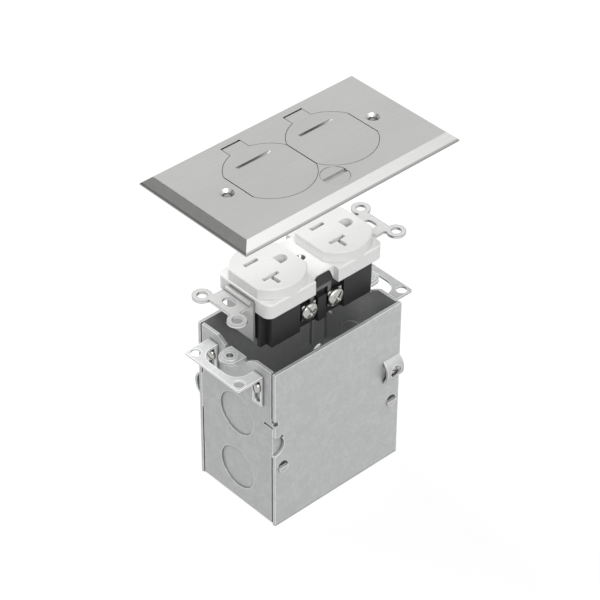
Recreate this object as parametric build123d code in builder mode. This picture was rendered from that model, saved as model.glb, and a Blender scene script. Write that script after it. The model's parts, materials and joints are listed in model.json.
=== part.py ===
# Floor socket box, laid out one above the other as a lifted-apart assembly:
# a steel box with plaster ears, a duplex receptacle on its strap, and a floor
# cover with two hinged lids and a lock screw.
# Millimetres. Origin at the centre of the box's underside, X along the box, Z up.
from build123d import *
import os

os.makedirs("parts", exist_ok=True)

# Steel box
box_length = 76.2
box_width = 50.8
box_height = 88.9
sheet = 1.6
bend_radius = 1.5
seam_gap = 0.9
mount_spacing = 83.34
device_hole_radius = 1.75
knockout_radius = 11.1
knockout_step = 0.7
knockout_margin = 8.2
knockout_spacing = 32.2
corner_lug_reach = 8.0
corner_lug_height = 20.0
corner_lug_middle = 50.5

# Folded device tab and the opening of the rim around it
tab_drop = 2.4
tab_width = 10.0
collar_radius = 3.9
collar_height = 0.5
collar_taper = 25
relief_width = 2.4
relief_depth = 1.6
rim_opening = 24.4

# Side plates
side_notch_radius = 5.5
side_notch_height = 47.5
hook_slot_length = 5.8
hook_slot_height = 1.5
hook_slot_middle = 57.8
hook_notch_width = 1.9
hook_notch_height = 3.0
pilot_hole_radius = 1.15
pilot_hole_height = 51.8
lance_radius = 2.9
lance_inset = 4.7
lance_height = 34.2
lance_rise = 0.9
loop_inset = 5.2
loop_width = 10.2
loop_chord = 12.6
loop_rise = 3.3
loop_sheet = 1.1
loop_window_radius = 3.1
loop_middle = 53.3
plate_screw_length = 5.6

# Plaster ears
ear_sheet = 1.2
ear_drop = 5.0
ear_width = 35.6
ear_reach = 14.4
ear_corner = 1.0
ear_hole_radius = 2.6
ear_hole_inset = 3.5
ear_hole_pitch = 28.7
ear_notch_width = 24.0
ear_notch_depth = 10.8
ear_notch_corner = 7.0
ear_leg_drop = 16.4
ear_slot_length = 12.8
ear_slot_width = 3.9
ear_screw_pitch = 30.2
ear_screw_drop = 6.4
ear_screw_length = 5.0
sliding_gap = 0.1

# Small machine screws of the box
box_screw_radius = 1.7
box_screw_head_radius = 2.8
box_screw_head_height = 1.9
box_screw_slot = 0.8
thread_fit = 0.05

# Share of a screw head's height that its slot cuts
head_slot_share = 0.5

# How far the receptacle and the cover stand above their seats
receptacle_lift = 28.3
cover_lift = 46.0
seat_gap = 0.1

# Receptacle
face_spacing = 38.9
face_radius = 17.05
face_flat = 14.3
face_rise = 8.3
face_height = 5.6
face_bevel = 0.4
cap_end_margin = 0.45
cap_width = 34.0
cap_corner = 4.0
cap_height = 7.3
cap_wall = 2.6
cap_roof = 2.3
cap_bevel = 0.5
centre_hole_radius = 2.1
centre_hole_depth = 5.0
body_end_inset = 0.9
body_width = 27.8
body_height = 19.0
end_step_length = 3.7
end_step_depth = 3.5
body_wall = 1.8
strap_channel_depth = 4.0
floor_thickness = 1.6
notch_width = 13.4
tongue_rise = 6.4
tongue_angle = 68
tongue_round = 2.0

# Openings of one outlet, from its face's centre
blade_offset = 6.35
blade_shift = -4.0
ground_shift = 7.9
hot_slot_length = 7.7
neutral_slot_length = 8.8
slot_width = 1.9
tee_length = 5.8
ground_hole_radius = 2.7

# Terminals
terminal_pitch = 15.4
terminal_height = 8.6
terminal_bay_width = 10.6
terminal_bay_depth = 2.1
terminal_plate_sheet = 1.0
terminal_plate_width = 8.0
terminal_plate_drop = 4.0
terminal_plate_rise = 3.2
clamp_sheet = 0.7
clamp_width = 8.0
terminal_head_radius = 4.5
terminal_head_height = 2.2
terminal_shank_radius = 1.9
terminal_slot = 1.1
link_width = 12.4
link_height = 2.9
link_leg = 2.0
contact_sheet = 0.8
leaf_width = 7.0
leaf_gap = 1.5
ground_leaf_width = 5.0
ground_leaf_gap = 4.4
leaf_top_gap = 4.0
rivet_radius = 1.4
rivet_head_radius = 2.6
rivet_head_height = 1.2

# Mounting strap
strap_sheet = 1.2
strap_width = 16.8
strap_bend = 0.65
strap_side_gap = 0.1
strap_step = 2.0
strap_step_height = 1.4
ring_spacing_x = 94.1
ring_spacing_y = 22.8
ring_radius = 4.5
ring_hole_radius = 2.3
ring_neck_width = 3.4
strap_slot_length = 6.6
strap_slot_width = 4.4
ground_wing_width = 8.4
ground_wing_height = 9.0

# Cover
plate_length = 122.0
plate_width = 67.0
plate_thickness = 4.4
bevel = 4.1
plate_rim = 0.7
cover_hole_radius = 2.1
cover_sink_radius = 3.2
cover_sink_angle = 82
lid_side_ledge = 2.65
lid_end_ledge = 1.35
lid_thickness = 3.0
lid_gap = 0.2
lid_rest_gap = 0.1
lid_relief = 0.7
lid_relief_depth = 1.4
face_fit = 0.3
lid_tab_width = 10.5
hinge_overhang = 2.0
knuckle_radius = 3.5
pin_radius = 0.75
pin_length = 17.5
pin_fit = 0.05
coin_slot_offset = 10.5
coin_slot_length = 19.0
coin_slot_width = 1.4
coin_cutter_radius = 26.0
lock_lid_gap = 0.8
lock_head_radius = 6.5
lock_head_sink = 0.15
lock_cam_radius = 8.5
lock_cam_chord = 2.5
lock_cam_sheet = 0.8
lock_cam_drop = 1.35
lock_gap = 0.1
lock_slot_width = 2.1
lock_slot_depth = 0.8
lock_shank_radius = 2.5
retainer_seat = 1.6
retainer_sheet = 0.9
washer_sheet = 0.35
gasket_sheet = 0.8
gasket_margin = 3.0
gasket_corner = 4.0
gasket_gap = 0.6

# Heights that follow from the sizes above
tab_top = box_height - tab_drop
ear_top = box_height - ear_drop
ear_screw_height = ear_top - ear_screw_drop
strap_bottom = tab_top + collar_height + seat_gap + receptacle_lift
strap_top = strap_bottom + strap_sheet
face_top = strap_top + face_rise
shoulder = face_top - face_height
cap_bottom = shoulder - cap_height
body_bottom = cap_bottom - body_height
channel_top = body_bottom + strap_channel_depth
floor_top = channel_top + floor_thickness
terminal_middle = body_bottom + terminal_height
lid_bottom = face_top + face_fit + cover_lift
plate_top = lid_bottom + lid_thickness
plate_bottom = plate_top - plate_thickness
hinge_height = plate_top - plate_thickness / 2
ledge_top = lid_bottom - lid_rest_gap

# Places in plan that follow
mount_x = mount_spacing / 2
inside_width = box_width - 2 * sheet
end_width = inside_width - 2 * seam_gap
screw_x = box_length / 2 - loop_inset
face_x = face_spacing / 2
face_end = face_x + face_flat
cap_length = 2 * (face_end + cap_end_margin)
body_length = cap_length - 2 * body_end_inset
strap_leg_x = cap_length / 2 + strap_side_gap + strap_sheet / 2
lid_radius = face_radius + face_fit + lid_side_ledge
lid_flat = (face_end + face_fit + lid_end_ledge - lid_gap) / 2
lid_x = lid_flat + lid_gap
hinge_offset = lid_radius + hinge_overhang
lock_offset = ((lid_radius + lock_lid_gap + lock_head_radius) ** 2 - lid_x ** 2) ** 0.5
retainer_radius = lock_cam_radius + retainer_seat
bay_wall_outside = body_width / 2 - terminal_bay_depth
bay_wall_inside = bay_wall_outside - body_wall
terminal_plate_inside = bay_wall_outside + sliding_gap
ground_wing_inside = bay_wall_outside + sliding_gap
terminal_plate_outside = terminal_plate_inside + terminal_plate_sheet
clamp_outside = terminal_plate_outside + clamp_sheet
link_leg_spacing = link_width - link_leg


def slotted_screw(head_radius, head_height, shank_radius, length, slot):
    """A pan-head screw pointing down: the head's seat is at the origin."""
    with BuildPart() as screw:
        Cylinder(head_radius, head_height, align=(Align.CENTER, Align.CENTER, Align.MIN))
        Cylinder(shank_radius, length, align=(Align.CENTER, Align.CENTER, Align.MAX))
        with BuildSketch(Plane.XY.offset(head_height)):
            Rectangle(3 * head_radius, slot)
        extrude(amount=-head_height * head_slot_share, mode=Mode.SUBTRACT)
    return screw.part


def flattened_circle(radius, flat):
    """A circle cut by two flats, each at the distance flat from the centre."""
    with BuildSketch() as outline:
        Circle(radius)
        Rectangle(2 * flat, 2 * radius, mode=Mode.INTERSECT)
    return outline.sketch


def arched_tongue(width, rise):
    """The upright outline of a tongue: sloping sides and round shoulders."""
    with BuildSketch() as outline:
        Trapezoid(width, rise, tongue_angle, align=(Align.CENTER, Align.MIN))
        fillet(outline.vertices().group_by(Axis.Y)[-1], tongue_round)
    return outline.sketch


# Box: two end walls and the bottom, bent from one sheet
with BuildPart() as box_body:
    with BuildSketch(Plane.XZ) as channel:
        with Locations((0, box_height / 2)):
            Rectangle(box_length, box_height)
        fillet(channel.vertices().group_by(Axis.Y)[0], bend_radius)
        with Locations((0, sheet)):
            Rectangle(
                box_length - 2 * sheet, box_height,
                align=(Align.CENTER, Align.MIN), mode=Mode.SUBTRACT,
            )
    extrude(amount=end_width / 2, both=True)
    # Opening of the rim, with a relief on each side of the folded tab
    with BuildSketch(Plane.YZ):
        with BuildLine():
            Polyline(
                (0, tab_top),
                (tab_width / 2, tab_top),
                (tab_width / 2, tab_top - relief_depth),
                (tab_width / 2 + relief_width, tab_top - relief_depth),
                (tab_width / 2 + relief_width, tab_top - relief_depth / 4),
                (rim_opening / 2, box_height),
                (rim_opening / 2, box_height + sheet),
                (0, box_height + sheet),
                close=True,
            )
        make_face()
        mirror(about=Plane.YZ)
    extrude(amount=box_length, both=True, mode=Mode.SUBTRACT)
    # Device tabs folded outward, each with a raised collar round its tapped hole
    with BuildSketch(Plane.XY.offset(tab_top - sheet)):
        Rectangle(mount_spacing, tab_width)
        with GridLocations(mount_spacing, 1, 2, 1):
            Circle(tab_width / 2)
        Rectangle(box_length - 2 * sheet, tab_width, mode=Mode.SUBTRACT)
    extrude(amount=sheet)
    with BuildSketch(Plane.XY.offset(tab_top)):
        with GridLocations(mount_spacing, 1, 2, 1):
            Circle(collar_radius)
    extrude(amount=collar_height, taper=collar_taper)
    with BuildSketch(Plane.XY.offset(tab_top + collar_height)):
        with GridLocations(mount_spacing, 1, 2, 1):
            Circle(device_hole_radius)
    extrude(amount=-collar_height - sheet, mode=Mode.SUBTRACT)
    # Knockouts, pushed inward by part of the sheet
    for side in (-1, 1):
        knockouts = [(0, knockout_margin + knockout_radius + n * knockout_spacing) for n in (0, 1)]
        with BuildSketch(Plane.YZ.offset(side * box_length / 2)):
            with Locations(*knockouts):
                Circle(knockout_radius)
        extrude(amount=-side * knockout_step, mode=Mode.SUBTRACT)
        with BuildSketch(Plane.YZ.offset(side * (box_length / 2 - sheet))):
            with Locations(*knockouts):
                Circle(knockout_radius)
        extrude(amount=-side * knockout_step)
    with BuildSketch():
        Circle(knockout_radius)
    extrude(amount=knockout_step, mode=Mode.SUBTRACT)
    with BuildSketch(Plane.XY.offset(sheet)):
        Circle(knockout_radius)
    extrude(amount=knockout_step)
    # Lugs bent inward behind the side plates, across the seams
    with BuildSketch(Plane.XY.offset(corner_lug_middle - corner_lug_height / 2)):
        with GridLocations(
            box_length - corner_lug_reach - sheet, inside_width - sheet, 2, 2
        ):
            Rectangle(corner_lug_reach + sheet, sheet)
    extrude(amount=corner_lug_height)
    # Tapped holes for the ear screws and the side plate screws
    with BuildSketch(Plane.YZ.offset(-box_length / 2)):
        with Locations((0, ear_screw_height)):
            with GridLocations(ear_screw_pitch, 1, 2, 1):
                Circle(box_screw_radius + thread_fit)
    extrude(amount=box_length, mode=Mode.SUBTRACT)
    for side in (-1, 1):
        with BuildSketch(Plane.XZ.offset(side * inside_width / 2)):
            with Locations((side * screw_x, loop_middle)):
                Circle(box_screw_radius + thread_fit)
        extrude(amount=-side * sheet, mode=Mode.SUBTRACT)
        # Slot that takes the side plate's hooked edge
        with BuildSketch(Plane.YZ.offset(side * box_length / 2)):
            with Locations((side * (inside_width - hook_slot_length) / 2, hook_slot_middle)):
                Rectangle(hook_slot_length, hook_slot_height)
        extrude(amount=-side * sheet, mode=Mode.SUBTRACT)
box_body.part.label = "box_body"
export_step(box_body.part, "parts/box_body.step")

# Front side plate, with a loop lug at its right end
with BuildPart() as side_plate_front:
    with BuildSketch(Plane.XZ.offset(box_width / 2)):
        with Locations((0, box_height / 2)):
            Rectangle(box_length, box_height)
        with Locations((-box_length / 2, side_notch_height)):
            Circle(side_notch_radius, mode=Mode.SUBTRACT)
        with Locations((-box_length / 2, hook_slot_middle + hook_notch_height)):
            Rectangle(2 * hook_notch_width, hook_notch_height, mode=Mode.SUBTRACT)
        with Locations((-screw_x - pilot_hole_radius, pilot_hole_height)):
            Circle(pilot_hole_radius, mode=Mode.SUBTRACT)
        with Locations((screw_x, loop_middle)):
            Circle(box_screw_radius + sliding_gap, mode=Mode.SUBTRACT)
        with Locations(
            (-box_length / 2 + lance_inset, lance_height),
            (box_length / 2 - lance_inset, lance_height),
        ):
            Circle(lance_radius, mode=Mode.SUBTRACT)
    extrude(amount=-sheet)
    # Half-round lances: the lower half stays, pressed out a little
    for side in (-1, 1):
        with BuildSketch(Plane.XZ.offset(box_width / 2 + lance_rise)):
            with Locations((side * (box_length / 2 - lance_inset), lance_height)):
                Circle(lance_radius)
                with Locations((0, lance_radius / 2)):
                    Rectangle(2 * lance_radius, lance_radius, mode=Mode.SUBTRACT)
        extrude(amount=-sheet)
    # Loop lug bent outward over the plate's screw
    with BuildSketch(Plane.YZ.offset(screw_x - loop_width / 2)):
        with BuildLine():
            outer = ThreePointArc(
                (-box_width / 2, loop_middle - loop_chord / 2),
                (-box_width / 2 - loop_rise, loop_middle),
                (-box_width / 2, loop_middle + loop_chord / 2),
            )
            inner = ThreePointArc(
                (-box_width / 2, loop_middle + loop_chord / 2 - loop_sheet),
                (-box_width / 2 - loop_rise + loop_sheet, loop_middle),
                (-box_width / 2, loop_middle - loop_chord / 2 + loop_sheet),
            )
            Line(outer @ 1, inner @ 0)
            Line(inner @ 1, outer @ 0)
        make_face()
    extrude(amount=loop_width)
    with BuildSketch(Plane.XZ.offset(box_width / 2)):
        with Locations((screw_x, loop_middle)):
            Circle(loop_window_radius)
    extrude(amount=2 * loop_rise, mode=Mode.SUBTRACT)
side_plate_front.part.label = "side_plate_front"
export_step(side_plate_front.part, "parts/side_plate_front.step")

# Back side plate: the same pressing, turned round
with BuildPart() as side_plate_back:
    add(side_plate_front.part, rotation=(0, 0, 180))
side_plate_back.part.label = "side_plate_back"
export_step(side_plate_back.part, "parts/side_plate_back.step")

# Screws that hold the side plates to the box's lugs
plate_screw = slotted_screw(
    box_screw_head_radius, box_screw_head_height, box_screw_radius, plate_screw_length, box_screw_slot
)
with BuildPart() as side_plate_screws:
    for side in (-1, 1):
        with Locations(Plane(
            origin=(side * screw_x, -side * box_width / 2, loop_middle),
            x_dir=(0.5, 0, 0.8), z_dir=(0, -side, 0),
        )):
            add(plate_screw)
side_plate_screws.part.label = "side_plate_screws"
export_step(side_plate_screws.part, "parts/side_plate_screws.step")

# Plaster ear: a flange with a notch round the device tab, and two slotted legs
with BuildPart() as plaster_ear_right:
    with BuildSketch(Plane.XY.offset(ear_top - ear_sheet)) as flange:
        with Locations((box_length / 2 + sliding_gap, 0)):
            Rectangle(ear_reach, ear_width, align=(Align.MIN, Align.CENTER))
        fillet(flange.vertices().group_by(Axis.X)[-1], ear_corner)
        with Locations((box_length / 2, 0)):
            RectangleRounded(
                2 * ear_notch_depth, ear_notch_width, ear_notch_corner, mode=Mode.SUBTRACT
            )
        with Locations((box_length / 2 + ear_reach - ear_hole_inset, 0)):
            with GridLocations(1, ear_hole_pitch, 1, 2):
                Circle(ear_hole_radius, mode=Mode.SUBTRACT)
    extrude(amount=ear_sheet)
    with BuildSketch(Plane.YZ.offset(box_length / 2 + sliding_gap)):
        with Locations((0, ear_top)):
            Rectangle(ear_width, ear_leg_drop, align=(Align.CENTER, Align.MAX))
            Rectangle(ear_notch_width, ear_leg_drop, align=(Align.CENTER, Align.MAX), mode=Mode.SUBTRACT)
        with Locations((0, ear_top - ear_leg_drop / 2 - ear_sheet / 2)):
            with GridLocations(ear_screw_pitch, 1, 2, 1):
                SlotOverall(ear_slot_length, ear_slot_width, rotation=90, mode=Mode.SUBTRACT)
    extrude(amount=ear_sheet)
plaster_ear_right.part.label = "plaster_ear_right"
export_step(plaster_ear_right.part, "parts/plaster_ear_right.step")

with BuildPart() as plaster_ear_left:
    add(plaster_ear_right.part, rotation=(0, 0, 180))
plaster_ear_left.part.label = "plaster_ear_left"
export_step(plaster_ear_left.part, "parts/plaster_ear_left.step")

# Screws that clamp the ears' legs to the end walls
ear_screw = slotted_screw(
    box_screw_head_radius, box_screw_head_height, box_screw_radius, ear_screw_length, box_screw_slot
)
with BuildPart() as ear_screws_right:
    for side in (-1, 1):
        with Locations(Plane(
            origin=(
                box_length / 2 + 2 * sliding_gap + ear_sheet,
                side * ear_screw_pitch / 2,
                ear_screw_height,
            ),
            x_dir=(0, 0.3, 1), z_dir=(1, 0, 0),
        )):
            add(ear_screw)
ear_screws_right.part.label = "ear_screws_right"
export_step(ear_screws_right.part, "parts/ear_screws_right.step")

with BuildPart() as ear_screws_left:
    add(ear_screws_right.part, rotation=(0, 0, 180))
ear_screws_left.part.label = "ear_screws_left"
export_step(ear_screws_left.part, "parts/ear_screws_left.step")

# Receptacle cap: a rounded base with two flattened round faces
with BuildPart() as receptacle_face:
    with BuildSketch(Plane.XY.offset(cap_bottom)):
        RectangleRounded(cap_length, cap_width, cap_corner)
    extrude(amount=cap_height)
    chamfer(receptacle_face.edges().group_by(Axis.Z)[-1], cap_bevel)
    with BuildSketch(Plane.XY.offset(shoulder - cap_roof)):
        with GridLocations(face_spacing, 1, 2, 1):
            add(flattened_circle(face_radius, face_flat))
    extrude(amount=face_height + cap_roof)
    chamfer(receptacle_face.edges().group_by(Axis.Z)[-1], face_bevel)
    # Notches at the middle of each long side, and behind them room for the body's tongues
    with BuildSketch(Plane.XY.offset(cap_bottom)):
        with GridLocations(1, cap_width, 1, 2):
            Rectangle(notch_width, cap_width - body_width)
    extrude(amount=cap_height, mode=Mode.SUBTRACT)
    with BuildSketch(Plane.XZ):
        with Locations((0, cap_bottom)):
            add(arched_tongue(notch_width, tongue_rise + sliding_gap))
    extrude(amount=body_width / 2, both=True, mode=Mode.SUBTRACT)
    # Hollow underside
    with BuildSketch(Plane.XY.offset(cap_bottom)):
        Rectangle(cap_length - 2 * cap_wall, 2 * bay_wall_inside)
    extrude(amount=cap_height - cap_roof, mode=Mode.SUBTRACT)
    # Slots and ground holes
    with BuildSketch(Plane.XY.offset(face_top)):
        with GridLocations(face_spacing, 1, 2, 1):
            with Locations((blade_shift, blade_offset)):
                Rectangle(hot_slot_length, slot_width)
            with Locations((blade_shift, -blade_offset)):
                Rectangle(neutral_slot_length, slot_width)
            with Locations((blade_shift, -blade_offset)):
                Rectangle(slot_width, tee_length, align=(Align.CENTER, Align.MAX))
            with Locations((ground_shift, 0)):
                Circle(ground_hole_radius)
            with Locations((ground_shift, 0)):
                Rectangle(
                    ground_hole_radius, 2 * ground_hole_radius, align=(Align.MAX, Align.CENTER)
                )
    extrude(amount=-face_height - cap_roof, mode=Mode.SUBTRACT)
    # Hole in the middle for a plain wall plate's screw
    with BuildSketch(Plane.XY.offset(shoulder)):
        Circle(centre_hole_radius)
    extrude(amount=-centre_hole_depth, mode=Mode.SUBTRACT)
    # Blind holes for the rivets
    with BuildSketch(Plane.XY.offset(shoulder - cap_roof)):
        with GridLocations(face_spacing, 1, 2, 1):
            Circle(rivet_radius + thread_fit)
    extrude(amount=cap_roof + face_height / 2, mode=Mode.SUBTRACT)
receptacle_face.part.label = "receptacle_face"
export_step(receptacle_face.part, "parts/receptacle_face.step")

# Receptacle body: a tub with stepped corners, terminal bays and a channel for the strap
with BuildPart() as receptacle_body:
    with BuildSketch(Plane.XY.offset(body_bottom)):
        Rectangle(body_length, body_width)
        with GridLocations(body_length, body_width, 2, 2):
            Rectangle(2 * end_step_length, 2 * end_step_depth, mode=Mode.SUBTRACT)
    extrude(amount=body_height)
    with BuildSketch(Plane.XY.offset(body_bottom)):
        with GridLocations(terminal_pitch, body_width, 2, 2):
            Rectangle(terminal_bay_width, 2 * terminal_bay_depth)
    extrude(amount=body_height, mode=Mode.SUBTRACT)
    # Bay of the ground screw, at the back right corner
    with BuildSketch(Plane.XY.offset(body_bottom)):
        with Locations((body_length / 2, body_width / 2)):
            Rectangle(2 * (ground_wing_width + strap_sheet), 2 * terminal_bay_depth)
    extrude(amount=body_height, mode=Mode.SUBTRACT)
    # Room for the link between the terminals, above the barrier
    with BuildSketch(Plane.XY.offset(terminal_middle + terminal_head_radius)):
        with GridLocations(1, body_width, 1, 2):
            Rectangle(terminal_pitch, 2 * terminal_bay_depth)
    extrude(amount=body_height, mode=Mode.SUBTRACT)
    # Arched tongues that rise into the cap's notches
    with BuildSketch(Plane.XZ):
        with Locations((0, cap_bottom)):
            add(arched_tongue(notch_width - 2 * sliding_gap, tongue_rise))
    extrude(amount=body_width / 2, both=True)
    # Cavity for the contacts
    with BuildSketch(Plane.XY.offset(floor_top)):
        Rectangle(body_length - 2 * body_wall, body_width - 2 * end_step_depth - 2 * body_wall)
        Rectangle(body_length - 2 * end_step_length - 2 * body_wall, 2 * bay_wall_inside)
    extrude(amount=body_height + tongue_rise, mode=Mode.SUBTRACT)
    # Channel along the underside and rivet holes
    with BuildSketch(Plane.XY.offset(body_bottom)):
        Rectangle(body_length, strap_width + 4 * sliding_gap)
    extrude(amount=strap_channel_depth, mode=Mode.SUBTRACT)
    with BuildSketch(Plane.XY.offset(channel_top)):
        with GridLocations(face_spacing, 1, 2, 1):
            Circle(rivet_radius + thread_fit)
    extrude(amount=floor_thickness, mode=Mode.SUBTRACT)
    # Windows and screw holes in the bay walls
    with BuildSketch(Plane.XZ.offset(-body_width / 2)):
        with Locations((0, terminal_middle)):
            with GridLocations(terminal_pitch, 1, 2, 1):
                Circle(terminal_shank_radius + sliding_gap)
        with Locations((0, terminal_middle + terminal_head_radius)):
            with GridLocations(link_leg_spacing, 1, 2, 1):
                Rectangle(link_leg + 2 * contact_sheet, 4 * contact_sheet)
    extrude(amount=body_width, mode=Mode.SUBTRACT)
receptacle_body.part.label = "receptacle_body"
export_step(receptacle_body.part, "parts/receptacle_body.step")

# Mounting strap: bent along the ends and underside of the body, with two ears
ear_end_x = ring_spacing_x / 2
leg_bottom = channel_top - strap_sheet / 2 - sliding_gap
step_top = strap_bottom + strap_sheet / 2 + strap_step_height
ear_middle = strap_bottom + strap_sheet / 2
with BuildPart() as mounting_strap:
    with BuildSketch(Plane.XZ) as strap_profile:
        with BuildLine() as bent_line:
            FilletPolyline(
                (0, leg_bottom),
                (strap_leg_x, leg_bottom),
                (strap_leg_x, step_top),
                (strap_leg_x + strap_step, step_top),
                (strap_leg_x + strap_step, ear_middle),
                (ear_end_x, ear_middle),
                radius=strap_bend,
            )
        trace(line_width=strap_sheet)
        mirror(about=Plane.YZ)
    extrude(amount=strap_width / 2, both=True)
    # Rings at the corners of both ears, each on a neck
    with BuildSketch(Plane.XY.offset(strap_bottom)):
        with GridLocations(ring_spacing_x, ring_spacing_y, 2, 2):
            Circle(ring_radius)
        for side_x in (-1, 1):
            for side_y in (-1, 1):
                with BuildLine():
                    Line(
                        (side_x * mount_x, side_y * strap_width / 4),
                        (side_x * ear_end_x, side_y * ring_spacing_y / 2),
                    )
                trace(line_width=ring_neck_width)
    extrude(amount=strap_sheet)
    with BuildSketch(Plane.XY.offset(strap_bottom)):
        with GridLocations(mount_spacing, 1, 2, 1):
            SlotOverall(strap_slot_length, strap_slot_width, rotation=90)
        with GridLocations(ring_spacing_x, ring_spacing_y, 2, 2):
            Circle(ring_hole_radius)
    extrude(amount=strap_sheet, mode=Mode.SUBTRACT)
    # Wing bent round the corner, for the ground screw
    with BuildSketch(Plane.XY.offset(terminal_middle - ground_wing_height / 2)):
        with BuildLine():
            FilletPolyline(
                (strap_leg_x, 0),
                (strap_leg_x, ground_wing_inside + strap_sheet / 2),
                (body_length / 2 - ground_wing_width, ground_wing_inside + strap_sheet / 2),
                radius=strap_bend,
            )
        trace(line_width=strap_sheet)
    extrude(amount=ground_wing_height)
    with BuildSketch(Plane.XZ.offset(-ground_wing_inside)):
        with Locations((body_length / 2 - ground_wing_width / 2, terminal_middle)):
            Circle(terminal_shank_radius + thread_fit)
    extrude(amount=-strap_sheet, mode=Mode.SUBTRACT)
    with BuildSketch(Plane.XY.offset(leg_bottom - strap_sheet / 2)):
        with GridLocations(face_spacing, 1, 2, 1):
            Circle(rivet_radius + thread_fit)
    extrude(amount=strap_sheet, mode=Mode.SUBTRACT)
mounting_strap.part.label = "mounting_strap"
export_step(mounting_strap.part, "parts/mounting_strap.step")

# Rivets through the strap, the body and the cap
with BuildPart() as assembly_rivets:
    with BuildSketch(Plane.XY.offset(leg_bottom - strap_sheet / 2)):
        with GridLocations(face_spacing, 1, 2, 1):
            Circle(rivet_head_radius)
    extrude(amount=-rivet_head_height)
    with BuildSketch(Plane.XY.offset(leg_bottom - strap_sheet / 2)):
        with GridLocations(face_spacing, 1, 2, 1):
            Circle(rivet_radius)
    extrude(amount=shoulder + face_height / 2 - thread_fit - leg_bottom)
assembly_rivets.part.label = "assembly_rivets"
export_step(assembly_rivets.part, "parts/assembly_rivets.step")

# Contact strip of one pole: two spring clips inside, two terminal plates outside.
# It's drawn for the front pole, and the back one is its mirror image.
leaf_bottom = floor_top + sliding_gap
leaf_top = shoulder - cap_roof - leaf_top_gap
strip_outside = bay_wall_inside - sliding_gap
with BuildPart() as neutral_contact_strip:
    # Clip leaves on both sides of each blade
    with BuildSketch(Plane.XY.offset(leaf_bottom)):
        with Locations((blade_shift, -blade_offset)):
            with GridLocations(face_spacing, leaf_gap + contact_sheet, 2, 2):
                Rectangle(leaf_width, contact_sheet)
    extrude(amount=leaf_top - leaf_bottom)
    # Floor of each clip, out to the upright bar along the wall
    with BuildSketch(Plane.XY.offset(leaf_bottom)):
        with Locations((blade_shift, -strip_outside)):
            with GridLocations(face_spacing, 1, 2, 1):
                Rectangle(
                    leaf_width,
                    strip_outside - blade_offset + leaf_gap / 2 + contact_sheet,
                    align=(Align.CENTER, Align.MIN),
                )
    extrude(amount=contact_sheet)
    with BuildSketch(Plane.XZ.offset(strip_outside)):
        with Locations((blade_shift, leaf_bottom)):
            Rectangle(
                face_spacing + leaf_width, leaf_gap * 1.5,
                align=(Align.CENTER, Align.MIN),
            )
        with Locations((0, leaf_bottom)):
            Rectangle(
                terminal_pitch + 2 * leaf_gap,
                terminal_middle + terminal_head_radius + contact_sheet - leaf_bottom,
                align=(Align.CENTER, Align.MIN),
            )
        with Locations((0, terminal_middle)):
            with GridLocations(terminal_pitch, 1, 2, 1):
                Circle(terminal_shank_radius + 2 * sliding_gap, mode=Mode.SUBTRACT)
    extrude(amount=-contact_sheet)
    # Tongues out through the windows of the bay wall
    with BuildSketch(Plane.XY.offset(terminal_middle + terminal_head_radius - contact_sheet)):
        with Locations((0, -strip_outside + contact_sheet / 2)):
            with GridLocations(link_leg_spacing, 1, 2, 1):
                Rectangle(
                    link_leg, terminal_plate_outside - strip_outside + contact_sheet / 2,
                    align=(Align.CENTER, Align.MAX),
                )
    extrude(amount=2 * contact_sheet)
    # Terminal plates joined by the link that can be broken off
    with BuildSketch(Plane.XZ.offset(terminal_plate_outside)):
        with Locations((0, terminal_middle - terminal_plate_drop)):
            with GridLocations(terminal_pitch, 1, 2, 1):
                Rectangle(
                    terminal_plate_width, terminal_plate_drop + terminal_plate_rise,
                    align=(Align.CENTER, Align.MIN),
                )
        with Locations((0, cap_bottom - sliding_gap)):
            Rectangle(link_width, link_height, align=(Align.CENTER, Align.MAX))
            with GridLocations(link_leg_spacing, 1, 2, 1):
                Rectangle(
                    link_leg, cap_bottom - sliding_gap - terminal_middle,
                    align=(Align.CENTER, Align.MAX),
                )
        with Locations((0, terminal_middle)):
            with GridLocations(terminal_pitch, 1, 2, 1):
                Circle(terminal_shank_radius + thread_fit, mode=Mode.SUBTRACT)
    extrude(amount=-terminal_plate_sheet)
neutral_contact_strip.part.label = "neutral_contact_strip"
export_step(neutral_contact_strip.part, "parts/neutral_contact_strip.step")

with BuildPart() as hot_contact_strip:
    add(mirror(neutral_contact_strip.part, about=Plane.XZ, mode=Mode.PRIVATE))
hot_contact_strip.part.label = "hot_contact_strip"
export_step(hot_contact_strip.part, "parts/hot_contact_strip.step")

# Ground contact strip: a bar on the body's floor with a clip under each ground hole
ground_bar_end = face_x + ground_shift + ground_leaf_width / 2
with BuildPart() as ground_contact_strip:
    with BuildSketch(Plane.XY.offset(leaf_bottom)):
        with Locations((ground_bar_end, 0)):
            Rectangle(
                ground_bar_end + face_x + rivet_head_radius,
                ground_leaf_gap + 2 * contact_sheet,
                align=(Align.MAX, Align.CENTER),
            )
        with GridLocations(face_spacing, 1, 2, 1):
            Circle(rivet_radius + thread_fit, mode=Mode.SUBTRACT)
    extrude(amount=contact_sheet)
    with BuildSketch(Plane.XY.offset(leaf_bottom)):
        with Locations((ground_shift, 0)):
            with GridLocations(face_spacing, ground_leaf_gap + contact_sheet, 2, 2):
                Rectangle(ground_leaf_width, contact_sheet)
    extrude(amount=leaf_top - leaf_bottom)
ground_contact_strip.part.label = "ground_contact_strip"
export_step(ground_contact_strip.part, "parts/ground_contact_strip.step")

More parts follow.
